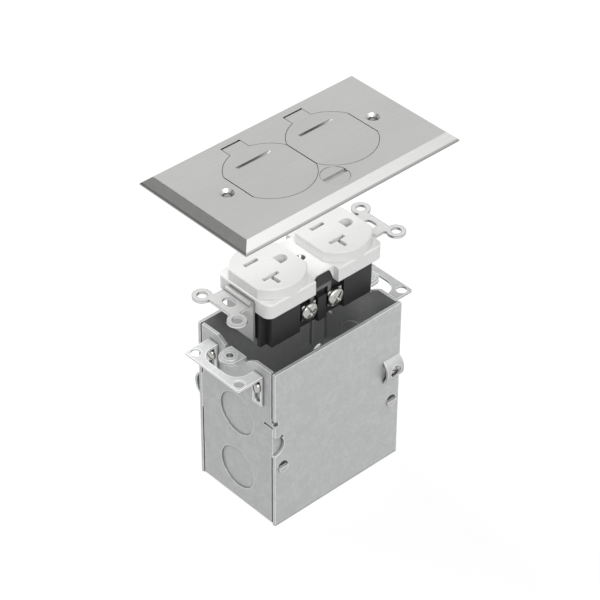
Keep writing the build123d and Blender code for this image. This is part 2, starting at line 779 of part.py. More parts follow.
# Terminal screws and the clamp plates under their heads
terminal_screw = slotted_screw(
    terminal_head_radius, terminal_head_height, terminal_shank_radius,
    clamp_outside - bay_wall_inside, terminal_slot,
)
with BuildPart() as neutral_terminal_screws:
    for side in (-1, 1):
        with Locations(Plane(
            origin=(side * terminal_pitch / 2, -clamp_outside, terminal_middle),
            x_dir=(0.45, 0, 1), z_dir=(0, -1, 0),
        )):
            add(terminal_screw)
neutral_terminal_screws.part.label = "neutral_terminal_screws"
export_step(neutral_terminal_screws.part, "parts/neutral_terminal_screws.step")

with BuildPart() as hot_terminal_screws:
    add(neutral_terminal_screws.part, rotation=(0, 0, 180))
hot_terminal_screws.part.label = "hot_terminal_screws"
export_step(hot_terminal_screws.part, "parts/hot_terminal_screws.step")

with BuildPart() as neutral_clamp_plates:
    with BuildSketch(Plane.XZ.offset(terminal_plate_outside)):
        with Locations((0, terminal_middle)):
            with GridLocations(terminal_pitch, 1, 2, 1):
                Rectangle(clamp_width, clamp_width)
                Circle(terminal_shank_radius + thread_fit, mode=Mode.SUBTRACT)
    extrude(amount=clamp_sheet)
neutral_clamp_plates.part.label = "neutral_clamp_plates"
export_step(neutral_clamp_plates.part, "parts/neutral_clamp_plates.step")

with BuildPart() as hot_clamp_plates:
    add(neutral_clamp_plates.part, rotation=(0, 0, 180))
hot_clamp_plates.part.label = "hot_clamp_plates"
export_step(hot_clamp_plates.part, "parts/hot_clamp_plates.step")

# Ground screw, in the strap's wing on the back
ground_screw = slotted_screw(
    terminal_head_radius, terminal_head_height, terminal_shank_radius,
    strap_sheet + sliding_gap, terminal_slot,
)
with BuildPart() as ground_terminal_screw:
    with Locations(Plane(
        origin=(
            body_length / 2 - ground_wing_width / 2,
            ground_wing_inside + strap_sheet,
            terminal_middle,
        ),
        x_dir=(0.3, 0, 1), z_dir=(0, 1, 0),
    )):
        add(ground_screw)
ground_terminal_screw.part.label = "ground_terminal_screw"
export_step(ground_terminal_screw.part, "parts/ground_terminal_screw.step")

# Cover plate: bevelled all round, with two lid wells and a lock pocket
with BuildPart() as cover_plate:
    with BuildSketch(Plane.XY.offset(plate_bottom)):
        Rectangle(plate_length, plate_width)
    extrude(amount=plate_rim)
    with BuildSketch(Plane.XY.offset(plate_bottom + plate_rim)):
        Rectangle(plate_length, plate_width)
    with BuildSketch(Plane.XY.offset(plate_top)):
        Rectangle(plate_length - 2 * bevel, plate_width - 2 * bevel)
    loft()
    # Wells that the lids lie in, down to the ledge
    with BuildSketch(Plane.XY.offset(plate_top)):
        with GridLocations(2 * lid_x, 1, 2, 1):
            add(flattened_circle(lid_radius + lid_gap, lid_flat + 2 * lid_gap))
    extrude(amount=ledge_top - plate_top, mode=Mode.SUBTRACT)
    # Openings for the two faces, and the slots of the hinge knuckles
    with BuildSketch(Plane.XY.offset(plate_top)):
        with GridLocations(face_spacing, 1, 2, 1):
            add(flattened_circle(face_radius + face_fit, face_flat + face_fit))
        with Locations((0, hinge_offset)):
            with GridLocations(2 * lid_x, 1, 2, 1):
                Rectangle(lid_tab_width + 2 * lid_gap, 2 * (knuckle_radius + lid_gap))
    extrude(amount=-plate_thickness, mode=Mode.SUBTRACT)
    # Countersunk holes for the cover's screws
    with Locations((-mount_x, 0, plate_top), (mount_x, 0, plate_top)):
        CounterSinkHole(
            radius=cover_hole_radius, counter_sink_radius=cover_sink_radius,
            depth=plate_thickness, counter_sink_angle=cover_sink_angle,
        )
    # Bores for the hinge pins
    with BuildSketch(Plane.YZ):
        with Locations((hinge_offset, hinge_height)):
            Circle(pin_radius + pin_fit / 2)
    extrude(amount=lid_x + pin_length / 2 + pin_fit, both=True, mode=Mode.SUBTRACT)
    # Lock pocket: hole for the head, room for the cam, seat for the retainer
    with BuildSketch(Plane.XY.offset(plate_top)):
        with Locations((0, -lock_offset)):
            Circle(lock_head_radius + lock_gap)
    extrude(amount=-plate_thickness, mode=Mode.SUBTRACT)
    with BuildSketch(Plane.XY.offset(plate_top - lock_cam_drop + lock_gap)):
        with Locations((0, -lock_offset)):
            Circle(lock_cam_radius + 3 * lock_gap)
    extrude(amount=-plate_thickness, mode=Mode.SUBTRACT)
    with BuildSketch(Plane.XY.offset(plate_bottom)):
        with Locations((0, -lock_offset)):
            Circle(retainer_radius + lock_gap)
    extrude(amount=retainer_sheet, mode=Mode.SUBTRACT)
cover_plate.part.label = "cover_plate"
export_step(cover_plate.part, "parts/cover_plate.step")

# Gasket under the cover plate
with BuildPart() as cover_gasket:
    with BuildSketch(Plane.XY.offset(plate_bottom)):
        RectangleRounded(
            plate_length - 2 * gasket_margin, plate_width - 2 * gasket_margin, gasket_corner
        )
        with GridLocations(mount_spacing, 1, 2, 1):
            Circle(cover_hole_radius, mode=Mode.SUBTRACT)
        with Locations((0, hinge_offset + knuckle_radius + gasket_gap)):
            Rectangle(
                2 * (face_end + face_fit + gasket_gap),
                hinge_offset + knuckle_radius + face_radius + face_fit + 2 * gasket_gap,
                align=(Align.CENTER, Align.MAX), mode=Mode.SUBTRACT,
            )
    extrude(amount=-gasket_sheet)
cover_gasket.part.label = "cover_gasket"
export_step(cover_gasket.part, "parts/cover_gasket.step")

# Right lid: flattened disc, hinge knuckle, coin groove and lock groove
with BuildPart() as right_lid:
    with BuildSketch(Plane.XY.offset(lid_bottom)):
        with Locations((lid_x, 0)):
            add(flattened_circle(lid_radius, lid_flat))
        with Locations((lid_x, hinge_offset)):
            Rectangle(lid_tab_width, hinge_offset, align=(Align.CENTER, Align.MAX))
    extrude(amount=lid_thickness)
    # Relief under the back edge, so that the lid swings clear of its well
    with BuildSketch(Plane(origin=(lid_x, 0, plate_top), x_dir=(1, 0, 0), z_dir=(0, -1, 0))):
        with BuildLine():
            Polyline(
                (lid_radius, 0),
                (lid_radius - lid_relief, -lid_relief_depth),
                (lid_radius - lid_relief, -plate_thickness),
                (lid_radius + lid_relief, -plate_thickness),
                (lid_radius + lid_relief, 0),
                close=True,
            )
        make_face()
    revolve(
        axis=Axis((lid_x, 0, 0), (0, 0, 1)), revolution_arc=180, mode=Mode.SUBTRACT
    )
    # Knuckle round the hinge pin
    with BuildSketch(Plane.YZ.offset(lid_x - lid_tab_width / 2)):
        with Locations((hinge_offset, hinge_height)):
            Circle(knuckle_radius)
            Rectangle(2 * knuckle_radius, plate_thickness, mode=Mode.INTERSECT)
    extrude(amount=lid_tab_width)
    with BuildSketch(Plane.YZ.offset(lid_x - lid_tab_width / 2)):
        with Locations((hinge_offset, hinge_height)):
            Circle(pin_radius + pin_fit)
    extrude(amount=lid_tab_width, mode=Mode.SUBTRACT)
    # Groove cut by a round cutter, to lift the lid with a coin
    with BuildSketch(Plane.XZ.offset(-coin_slot_offset - coin_slot_width / 2)):
        with Locations((
            lid_x,
            plate_top + (coin_cutter_radius ** 2 - coin_slot_length ** 2 / 4) ** 0.5,
        )):
            Circle(coin_cutter_radius)
    extrude(amount=coin_slot_width, mode=Mode.SUBTRACT)
    # Groove that the lock's cam turns into
    with BuildSketch(Plane.XY.offset(plate_top - lock_cam_drop + lock_gap)):
        with Locations((0, -lock_offset)):
            Circle(lock_cam_radius + 4 * lock_gap)
    extrude(amount=-lock_cam_sheet - 2 * lock_gap, mode=Mode.SUBTRACT)
right_lid.part.label = "right_lid"
export_step(right_lid.part, "parts/right_lid.step")

with BuildPart() as left_lid:
    add(mirror(right_lid.part, about=Plane.YZ, mode=Mode.PRIVATE))
left_lid.part.label = "left_lid"
export_step(left_lid.part, "parts/left_lid.step")

# Hinge pins
with BuildPart() as right_hinge_pin:
    with BuildSketch(Plane.YZ.offset(lid_x - pin_length / 2)):
        with Locations((hinge_offset, hinge_height)):
            Circle(pin_radius)
    extrude(amount=pin_length)
right_hinge_pin.part.label = "right_hinge_pin"
export_step(right_hinge_pin.part, "parts/right_hinge_pin.step")

with BuildPart() as left_hinge_pin:
    add(mirror(right_hinge_pin.part, about=Plane.YZ, mode=Mode.PRIVATE))
left_hinge_pin.part.label = "left_hinge_pin"
export_step(left_hinge_pin.part, "parts/left_hinge_pin.step")

# Lock screw: a slotted round head on a cam with one flat side, and a shank
cam_top = plate_top - lock_cam_drop
cam_bottom = cam_top - lock_cam_sheet
retainer_top = plate_bottom + retainer_sheet
with BuildPart() as lock_screw:
    with BuildSketch(Plane.XY.offset(cam_top)):
        with Locations((0, -lock_offset)):
            Circle(lock_head_radius)
    extrude(amount=lock_cam_drop - lock_head_sink)
    with BuildSketch(Plane.XY.offset(plate_top - lock_head_sink)):
        with Locations((0, -lock_offset)):
            Rectangle(2 * lock_head_radius, lock_slot_width)
    extrude(amount=-lock_slot_depth, mode=Mode.SUBTRACT)
    with BuildSketch(Plane.XY.offset(cam_top)):
        with Locations((0, -lock_offset)):
            Circle(lock_cam_radius)
        with Locations((0, -lock_offset + lock_cam_chord)):
            Rectangle(
                2 * lock_cam_radius, lock_cam_radius,
                align=(Align.CENTER, Align.MIN), mode=Mode.SUBTRACT,
            )
    extrude(amount=-lock_cam_sheet)
    with BuildSketch(Plane.XY.offset(cam_bottom)):
        with Locations((0, -lock_offset)):
            Circle(lock_shank_radius)
    extrude(amount=plate_bottom + lock_gap - cam_bottom)
lock_screw.part.label = "lock_screw"
export_step(lock_screw.part, "parts/lock_screw.step")

# Retainer that closes the lock's pocket from below
with BuildPart() as lock_retainer:
    with BuildSketch(Plane.XY.offset(plate_bottom)):
        with Locations((0, -lock_offset)):
            Circle(retainer_radius)
            Circle(lock_shank_radius + pin_fit, mode=Mode.SUBTRACT)
    extrude(amount=retainer_sheet)
lock_retainer.part.label = "lock_retainer"
export_step(lock_retainer.part, "parts/lock_retainer.step")

# Coned spring washer that presses the cam up
with BuildPart() as lock_spring_washer:
    washer_rise = cam_bottom - retainer_top - washer_sheet - lock_gap
    with BuildSketch(Plane(origin=(0, -lock_offset, retainer_top), x_dir=(1, 0, 0), z_dir=(0, -1, 0))):
        with BuildLine():
            Polyline(
                (lock_shank_radius + 2 * lock_gap, washer_rise),
                (lock_shank_radius + 2 * lock_gap, washer_rise + washer_sheet),
                (lock_head_radius, washer_sheet),
                (lock_head_radius, 0),
                close=True,
            )
        make_face()
    revolve(axis=Axis((0, -lock_offset, 0), (0, 0, 1)))
lock_spring_washer.part.label = "lock_spring_washer"
export_step(lock_spring_washer.part, "parts/lock_spring_washer.step")
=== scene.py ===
import json
import math

import bmesh
import bpy
from mathutils import Matrix, Vector


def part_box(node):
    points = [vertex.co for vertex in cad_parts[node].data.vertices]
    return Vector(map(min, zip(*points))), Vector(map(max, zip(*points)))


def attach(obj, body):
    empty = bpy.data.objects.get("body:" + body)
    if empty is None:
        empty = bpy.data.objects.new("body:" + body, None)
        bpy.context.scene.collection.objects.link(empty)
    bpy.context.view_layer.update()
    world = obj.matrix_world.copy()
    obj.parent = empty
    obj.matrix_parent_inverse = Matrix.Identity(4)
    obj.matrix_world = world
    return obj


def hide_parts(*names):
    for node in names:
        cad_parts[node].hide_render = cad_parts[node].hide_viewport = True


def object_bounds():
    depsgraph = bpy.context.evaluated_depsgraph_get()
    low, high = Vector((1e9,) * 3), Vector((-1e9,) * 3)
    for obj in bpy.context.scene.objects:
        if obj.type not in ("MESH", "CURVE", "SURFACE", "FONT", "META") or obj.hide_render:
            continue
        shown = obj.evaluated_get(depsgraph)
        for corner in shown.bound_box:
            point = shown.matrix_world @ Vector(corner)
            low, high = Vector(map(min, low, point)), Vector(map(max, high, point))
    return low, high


# A floor socket box lifted apart: steel box, duplex receptacle and floor cover.
# The CAD nodes keep their shapes and get worked finishes here; the screws are built anew,
# and the tapped holes get their threads.
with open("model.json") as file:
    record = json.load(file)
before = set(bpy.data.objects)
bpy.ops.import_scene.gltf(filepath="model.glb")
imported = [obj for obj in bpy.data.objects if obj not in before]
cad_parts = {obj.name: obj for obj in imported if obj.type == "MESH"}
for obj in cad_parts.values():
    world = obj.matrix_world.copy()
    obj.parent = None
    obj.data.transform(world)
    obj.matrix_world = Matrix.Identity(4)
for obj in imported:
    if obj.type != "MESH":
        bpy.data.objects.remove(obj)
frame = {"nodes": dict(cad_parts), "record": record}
frame_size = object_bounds()

MM = 0.001

# Camera, from a fit to the photograph
CAMERA_PLACE = Vector((-565.8, -611.5, 758.2)) * MM
CAMERA_AZIMUTH = math.radians(-42.76)
CAMERA_ELEVATION = math.radians(38.50)
CAMERA_ROLL = math.radians(0.40)
CAMERA_LENS = 144.5
CAMERA_SENSOR = 36.0
CAMERA_REACH = 50.0

# Screws: head heights, thread radii, and how far the side plate screws go in
TERMINAL_HEAD = 2.2 * MM
TERMINAL_THREAD = 1.9 * MM
BOX_HEAD = 1.9 * MM
BOX_THREAD = 1.7 * MM
SIDE_SCREW_LENGTH = 5.6 * MM

# How far each screw's slot is turned, in radians
NEUTRAL_TURNS = (0.5, 2.4)
HOT_TURNS = (-0.35, 1.55)
GROUND_TURN = 0.4
EAR_TURNS = (0.3, 1.1)
SIDE_TURN = 0.9

# Outline of a pan head, from its crown to its seat: shares of its radius and of its height
PAN_HEAD = (
    (0.45, 0.979), (0.72, 0.895), (0.88, 0.7375), (0.97, 0.4925),
    (1.0, 0.30), (1.0, 0.04), (0.985, 0.0),
)

# Slots of a screw, in shares of its head's radius
SLOT_WIDTH = 0.27
CROSS_WIDTH = 0.2
CROSS_LENGTH = 1.15

# Threads: pitch in shares of a screw's radius, and turns in a tapped hole
PITCH_SHARE = 0.42
TAPPED_TURNS = 3.5

# Fineness of round meshes, and the angles from which their edges stay sharp
SCREW_SEGMENTS = 48
HOLE_SEGMENTS = 40
SHARP_ANGLE = math.radians(35)
THREAD_SHARP_ANGLE = math.radians(25)

# Tapped holes of the box's device tabs
TAB_HOLE_X = 41.67 * MM
TAB_HOLE_RADIUS = 1.75 * MM
TAB_HOLE_BOTTOM = 84.9 * MM
TAB_HOLE_DEPTH = 2.1 * MM

# Threaded insert of the receptacle's middle hole
MIDDLE_HOLE_RADIUS = 2.1 * MM
MIDDLE_HOLE_BOTTOM = 117.0 * MM
MIDDLE_HOLE_DEPTH = 2.0 * MM

# Painted shade: a darker band along the cover's lower edge
SHADE_BAND_HEIGHT = 1.1 * MM
SHADE_BAND_FADE = 0.3 * MM
SHADE_BAND_TONE = 0.55

# Painted shade on the strap's legs: how far under its ears it starts to fade in, and where it is full
LEG_SHADE_START = 2.0 * MM
LEG_SHADE_END = 8.0 * MM
LEG_SHADE_TONE = 0.5

# Likeness of the rounded normal to the plain one: on a sharp edge, and on a flat face
EDGE_LIKENESS = 0.88
FLAT_LIKENESS = 0.995

# Rays that the edge and crevice nodes send out
EDGE_SAMPLES = 6
CREVICE_SAMPLES = 8

# Light levels, tones of the floor and the dark card, and where they stand
SKY_LEVEL = 0.32
FLOOR_TONE = 0.25
FLOOR_LIFT = 0.78
FLOOR_HALF_WIDTH = 12.0
FLOOR_DROP = 0.1 * MM
FLAG_TONE = 0.5
LAMP_DISTANCE = 1.2
OBJECT_MIDDLE = (Vector(frame_size[0]) + Vector(frame_size[1])) / 2


# Finishes

class Finish:
    """One material: a Principled shader and the noise that drives it."""

    def __init__(self, name, metallic, roughness):
        self.material = bpy.data.materials.new(name)
        self.material.use_nodes = True
        self.nodes = self.material.node_tree.nodes
        self.links = self.material.node_tree.links
        self.shader = self.nodes["Principled BSDF"]
        self.shader.inputs["Metallic"].default_value = metallic
        self.shader.inputs["Roughness"].default_value = roughness

    def place(self, stretch=(1, 1, 1)):
        """The object's own coordinates in metres, stretched along its axes."""
        coordinates = self.nodes.new("ShaderNodeTexCoord")
        mapping = self.nodes.new("ShaderNodeMapping")
        mapping.inputs["Scale"].default_value = stretch
        self.links.new(coordinates.outputs["Object"], mapping.inputs["Vector"])
        return mapping.outputs["Vector"]

    def height(self):
        """Height in the object's own coordinates, in metres."""
        split = self.nodes.new("ShaderNodeSeparateXYZ")
        self.links.new(self.place(), split.inputs["Vector"])
        return split.outputs["Z"]

    def noise(self, scale, detail=2.0, stretch=(1, 1, 1)):
        """Smooth noise; scale is in cells per metre."""
        texture = self.nodes.new("ShaderNodeTexNoise")
        texture.inputs["Scale"].default_value = scale
        texture.inputs["Detail"].default_value = detail
        self.links.new(self.place(stretch), texture.inputs["Vector"])
        return texture.outputs[0]

    def spangle(self, scale):
        """Flat crystal patches of random value, as on hot-dip zinc."""
        texture = self.nodes.new("ShaderNodeTexVoronoi")
        texture.inputs["Scale"].default_value = scale
        self.links.new(self.place(), texture.inputs["Vector"])
        split = self.nodes.new("ShaderNodeSeparateColor")
        self.links.new(texture.outputs["Color"], split.inputs["Color"])
        return split.outputs[0]

    def rings(self, scale):
        """Turning marks round the object's own Z axis."""
        texture = self.nodes.new("ShaderNodeTexWave")
        texture.wave_type = "RINGS"
        texture.rings_direction = "Z"
        texture.inputs["Scale"].default_value = scale
        texture.inputs["Distortion"].default_value = 1.0
        texture.inputs["Detail Scale"].default_value = 0.5
        self.links.new(self.place(), texture.inputs["Vector"])
        return texture.outputs["Fac"]

    def edges(self, radius):
        """1 along sharp edges, 0 on flat faces."""
        geometry = self.nodes.new("ShaderNodeNewGeometry")
        likeness = self.nodes.new("ShaderNodeVectorMath")
        likeness.operation = "DOT_PRODUCT"
        self.links.new(self.soft_edges(radius), likeness.inputs[0])
        self.links.new(geometry.outputs["Normal"], likeness.inputs[1])
        return self.span(likeness.outputs["Value"], EDGE_LIKENESS, FLAT_LIKENESS, 1.0, 0.0)

    def crevices(self, reach, closed=0.4, wide_open=0.92):
        """A mask for painted shade: 1 deep in corners and slots, 0 on open faces."""
        hollow = self.nodes.new("ShaderNodeAmbientOcclusion")
        hollow.samples = CREVICE_SAMPLES
        hollow.inputs["Distance"].default_value = reach
        return self.span(hollow.outputs["AO"], closed, wide_open, 1.0, 0.0)

    def span(self, value, from_low, from_high, low, high):
        """Maps a value from one range to another, held at the ends."""
        node = self.nodes.new("ShaderNodeMapRange")
        for key, number in zip(
            ("From Min", "From Max", "To Min", "To Max"), (from_low, from_high, low, high)
        ):
            node.inputs[key].default_value = number
        self.links.new(value, node.inputs["Value"])
        return node.outputs["Result"]

    def blend(self, amount, first, second):
        """A colour between two: each a linear RGB triple or a socket."""
        node = self.nodes.new("ShaderNodeMix")
        node.data_type = "RGBA"
        self.links.new(amount, node.inputs[0])
        for socket, colour in ((node.inputs[6], first), (node.inputs[7], second)):
            if isinstance(colour, tuple):
                socket.default_value = (*colour, 1.0)
            else:
                self.links.new(colour, socket)
        return node.outputs[2]

    def bump(self, height, strength, distance, under=None):
        """Relief from a height, on top of another bump if one is given."""
        node = self.nodes.new("ShaderNodeBump")
        node.inputs["Strength"].default_value = strength
        node.inputs["Distance"].default_value = distance
        self.links.new(height, node.inputs["Height"])
        if under is not None:
            self.links.new(under, node.inputs["Normal"])
        return node.outputs["Normal"]

    def soft_edges(self, radius):
        """The normal of edges rounded by this radius."""
        rounded = self.nodes.new("ShaderNodeBevel")
        rounded.samples = EDGE_SAMPLES
        rounded.inputs["Radius"].default_value = radius
        return rounded.outputs["Normal"]

    def use(self, colour, roughness, normal):
        """Joins the three sockets to the shader and gives the finished material."""
        for socket, key in ((colour, "Base Color"), (roughness, "Roughness"), (normal, "Normal")):
            self.links.new(socket, self.shader.inputs[key])
        return self.material


def shade(colour, factor):
    """A colour made darker or lighter by a factor."""
    return tuple(channel * factor for channel in colour)


def brushed_steel(name, colour, edge_tone, edge_width, shade_band_below=None):
    """Rolled steel with fine brushing along X. Where edge_tone is above 1 its edges are rubbed bright;
    where it is below 1 they get painted shade.
    Below a height, if one is given, it gets a darker band of painted shade along its lower edge."""
    finish = Finish(name, 1.0, 0.3)
    lines = finish.noise(1.0, detail=4.0, stretch=(110, 4200, 4200))
    broad = finish.noise(26.0, detail=3.0, stretch=(0.5, 1.4, 1.4))
    lined = finish.blend(finish.span(lines, 0.3, 0.7, 0, 1), shade(colour, 0.95), shade(colour, 1.04))
    clouded = finish.blend(finish.span(broad, 0.35, 0.65, 0, 0.6), lined, shade(colour, 0.92))
    # Painted shade along the edges where edge_tone is below 1; rubbed wear where it is above 1.
    edge_wear_and_painted_light = finish.blend(finish.edges(edge_width), clouded, shade(colour, edge_tone))
    # Painted shade: a darker band along the lower edge, below the given height.
    if shade_band_below is not None:
        shade_band = finish.span(
            finish.height(), shade_band_below, shade_band_below + SHADE_BAND_FADE, 1.0, 0.0
        )
        edge_wear_and_painted_light = finish.blend(shade_band, edge_wear_and_painted_light, shade(colour, SHADE_BAND_TONE))
    relief = finish.bump(lines, 0.2, 0.015 * MM, finish.soft_edges(0.06 * MM))
    return finish.use(edge_wear_and_painted_light, finish.span(lines, 0.3, 0.7, 0.27, 0.36), relief)


def galvanised_steel(name, colour):
    """Zinc-coated sheet: faint spangles, drawing scuffs and mottled gloss, with a painted highlight
    along its edges and painted shade in its corners and slots.
    """
    finish = Finish(name, 0.45, 0.42)
    patches = finish.spangle(260)
    mottle = finish.noise(480, detail=5.0)
    scuffs = finish.noise(1.0, detail=4.0, stretch=(2600, 2600, 240))
    base = finish.blend(finish.span(patches, 0, 1, 0, 1), shade(colour, 0.95), shade(colour, 1.04))
    dusted = finish.blend(finish.span(mottle, 0.4, 0.62, 0, 0.5), base, shade(colour, 0.92))
    rubbed = finish.blend(finish.span(scuffs, 0.56, 0.72, 0, 0.5), dusted, shade(colour, 1.12))
    # Painted highlight: the edges are lightened well above the sheet's own colour.
    edge_wear_and_painted_light = finish.blend(finish.edges(0.7 * MM), rubbed, shade(colour, 1.8))
    # Painted shade: darker deep in corners and slots.
    with_painted_shade = finish.blend(finish.crevices(1.6 * MM), edge_wear_and_painted_light, shade(colour, 0.35))
    relief = finish.bump(mottle, 0.15, 0.02 * MM, finish.soft_edges(0.12 * MM))
    return finish.use(with_painted_shade, finish.span(mottle, 0.35, 0.65, 0.38, 0.52), relief)


def plated_strip(name, colour, metallic, edge_tone, edge_width, crevice_shade_reach, leg_shade_below=None):
    """Satin plating on stamped strip, with drawing lines along X and painted shade in its corners and
    slots.
    Its edges get painted shade where edge_tone is below 1 and are lightened where it is above 1. Below
    a height, if one is given, painted shade fades in."""
    finish = Finish(name, metallic, 0.34)
    mottle = finish.noise(700, detail=4.0)
    drawn = finish.noise(1.0, detail=3.0, stretch=(160, 3000, 3000))
    base = finish.blend(finish.span(drawn, 0.3, 0.7, 0, 1), shade(colour, 0.92), shade(colour, 1.06))
    # Painted shade along the edges where edge_tone is below 1, as on the strap; lighter edges where it
    # is above 1.
    edge_wear_and_painted_light = finish.blend(finish.edges(edge_width), base, shade(colour, edge_tone))
    # Painted shade deep in corners and slots.
    with_painted_shade = finish.blend(finish.crevices(crevice_shade_reach), edge_wear_and_painted_light, shade(colour, 0.35))
    # Painted shade on the legs below the strap's ears, full further down.
    if leg_shade_below is not None:
        leg_shade = finish.span(
            finish.height(), leg_shade_below - LEG_SHADE_END, leg_shade_below - LEG_SHADE_START, 1.0, 0.0
        )
        with_painted_shade = finish.blend(leg_shade, with_painted_shade, shade(colour, LEG_SHADE_TONE))
    relief = finish.bump(mottle, 0.1, 0.01 * MM, finish.soft_edges(0.08 * MM))
    return finish.use(with_painted_shade, finish.span(mottle, 0.35, 0.65, 0.30, 0.42), relief)


def turned_metal(name, colour, roughness):
    """A machined screw: rings on the head and fine scratches."""
    finish = Finish(name, 1.0, roughness)
    rings = finish.rings(900)
    scratches = finish.noise(2200, detail=3.0)
    base = finish.blend(rings, shade(colour, 0.88), shade(colour, 1.08))
    edge_wear_and_painted_light = finish.blend(finish.edges(0.15 * MM), base, shade(colour, 1.25))
    relief = finish.bump(rings, 0.25, 0.015 * MM, finish.soft_edges(0.08 * MM))
    return finish.use(
        edge_wear_and_painted_light, finish.span(scratches, 0.3, 0.7, roughness - 0.06, roughness + 0.08), relief
    )


def stamped_brass(name, colour):
    """Plain stamped brass with a light tarnish."""
    finish = Finish(name, 1.0, 0.3)
    tarnish = finish.noise(320, detail=4.0)
    grain = finish.noise(1800, detail=2.0)
    base = finish.blend(finish.span(tarnish, 0.35, 0.65, 0, 1), colour, shade(colour, 0.74))
    relief = finish.bump(grain, 0.15, 0.015 * MM, finish.soft_edges(0.1 * MM))
    return finish.use(base, finish.span(tarnish, 0.3, 0.7, 0.24, 0.42), relief)


def moulded_plastic(name, colour, roughness, grain_depth, specular=0.5):
    """Moulded plastic: even colour, faint flow clouds, a fine mould grain and painted shade in its
    slots.
    """
    finish = Finish(name, 0.0, roughness)
    finish.shader.inputs["Specular IOR Level"].default_value = specular
    clouds = finish.noise(60, detail=2.0)
    grain = finish.noise(2600, detail=2.0)
    base = finish.blend(finish.span(clouds, 0.35, 0.65, 0, 1), shade(colour, 0.975), colour)
    handled = finish.blend(finish.edges(0.2 * MM), base, tuple(min(1, c * 1.06) for c in colour))
    # Painted shade deep in the slots and holes.
    slot_shaded = finish.blend(finish.crevices(2.4 * MM, 0.15, 0.7), handled, shade(colour, 0.4))
    relief = finish.bump(grain, 0.2, grain_depth, finish.soft_edges(0.2 * MM))
    return finish.use(
        slot_shaded, finish.span(grain, 0.35, 0.65, roughness - 0.04, roughness + 0.05), relief
    )


def dyed_plating(name, colour):
    """Green dyed zinc on the ground screw, rubbed bright along its edges."""
    finish = Finish(name, 0.6, 0.32)
    mottle = finish.noise(1500, detail=3.0)
    base = finish.blend(finish.span(mottle, 0.35, 0.65, 0, 1), shade(colour, 0.85), shade(colour, 1.15))
    edge_wear_and_painted_light = finish.blend(finish.span(finish.edges(0.12 * MM), 0, 1, 0, 0.5), base, (0.45, 0.5, 0.42))
    relief = finish.bump(mottle, 0.15, 0.02 * MM, finish.soft_edges(0.1 * MM))
    return finish.use(edge_wear_and_painted_light, finish.span(mottle, 0.3, 0.7, 0.26, 0.4), relief)


def foam_rubber(name, colour):
    """Closed-cell foam with small pores."""
    finish = Finish(name, 0.0, 0.85)
    pores = finish.noise(3200, detail=3.0)
    base = finish.blend(finish.span(pores, 0.35, 0.6, 0, 1), shade(colour, 0.6), shade(colour, 1.3))
    relief = finish.bump(pores, 0.6, 0.08 * MM)
    return finish.use(base, finish.span(pores, 0.3, 0.7, 0.75, 0.95), relief)


STRAP_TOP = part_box("mounting_strap")[1].z
FINISHES = {
    "cover_steel": brushed_steel(
        "cover_steel_brushed", (0.53, 0.53, 0.522), edge_tone=1.1, edge_width=0.12 * MM,
        # Painted shade: a darker band along the cover's lower edge.
        shade_band_below=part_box("cover_plate")[0].z + SHADE_BAND_HEIGHT,
    ),
    "galvanised_steel": galvanised_steel("galvanised_sheet", (0.55, 0.554, 0.558)),
    # Painted shade: dark edges, dark crevices and darker legs on the strap.
    "strap_steel": plated_strip(
        "zinc_plated_strip", (0.72, 0.72, 0.715), metallic=0.7,
        edge_tone=0.33, edge_width=0.6 * MM, crevice_shade_reach=7.0 * MM, leg_shade_below=STRAP_TOP,
    ),
    # Painted shade: the contacts' nickel is darkened far below the plating's own colour.
    "contact_nickel": plated_strip(
        "nickel_plated_strip_painted_shade", (0.16, 0.158, 0.153), metallic=0.5,
        edge_tone=1.3, edge_width=0.3 * MM, crevice_shade_reach=2.0 * MM,
    ),
    "screw_steel": turned_metal("turned_steel", (0.46, 0.455, 0.44), roughness=0.22),
    "contact_brass": stamped_brass("stamped_brass", (0.70, 0.52, 0.24)),
    "screw_brass": turned_metal("turned_brass", (0.76, 0.57, 0.27), roughness=0.24),
    "ground_green": dyed_plating("green_plating", (0.07, 0.30, 0.12)),
    "face_plastic": moulded_plastic(
        "white_plastic", (0.87, 0.87, 0.86), roughness=0.28, grain_depth=0.01 * MM
    ),
    "body_plastic": moulded_plastic(
        "black_plastic", (0.022, 0.022, 0.023), roughness=0.42, grain_depth=0.03 * MM, specular=0.3
    ),
    "gasket_rubber": foam_rubber("foam_rubber", (0.045, 0.045, 0.045)),
}

# Pieces that look a little different from their slot's plain finish: lighter and darker copies that
# paint light and shade, and edges darkened with painted shade
# Painted shade: the lids get dark edges along their seams.
lid_steel = brushed_steel(
    "lid_steel_brushed", (0.52, 0.52, 0.512), edge_tone=0.38, edge_width=0.38 * MM
)
OWN_FINISHES = {
    # Painted shade: the box gets a darker copy of the galvanised finish.
    "box_body": galvanised_steel("galvanised_box_painted_shade", (0.515, 0.519, 0.523)),
    "right_lid": lid_steel,
    "left_lid": lid_steel,
    # Painted shade on the right ear, a darker copy; painted light on the left ear, a lighter copy.
    "plaster_ear_right": galvanised_steel("galvanised_right_ear_painted_shade", (0.47, 0.474, 0.478)),
    "plaster_ear_left": galvanised_steel("galvanised_left_ear_painted_light", (0.72, 0.724, 0.728)),
    # Painted shade: the lock screw gets a dark outline along its edges.
    "lock_screw": brushed_steel(
        "lock_steel_brushed", (0.52, 0.52, 0.512), edge_tone=0.3, edge_width=0.45 * MM
    ),
}
# Painted shade: the tapped threads get a much darker copy of the galvanised finish.
shaded_thread_steel = galvanised_steel("galvanised_threads_painted_shade", (0.16, 0.16, 0.16))
insert_steel = turned_metal("turned_insert", (0.42, 0.41, 0.40), roughness=0.3)

slot_of_node = {s["node"]: s["material_slot"] for s in frame["record"]["subparts"]}
for node, cad_object in frame["nodes"].items():
    cad_object.data.materials.clear()
    cad_object.data.materials.append(OWN_FINISHES.get(node, FINISHES[slot_of_node[node]]))


# Screws

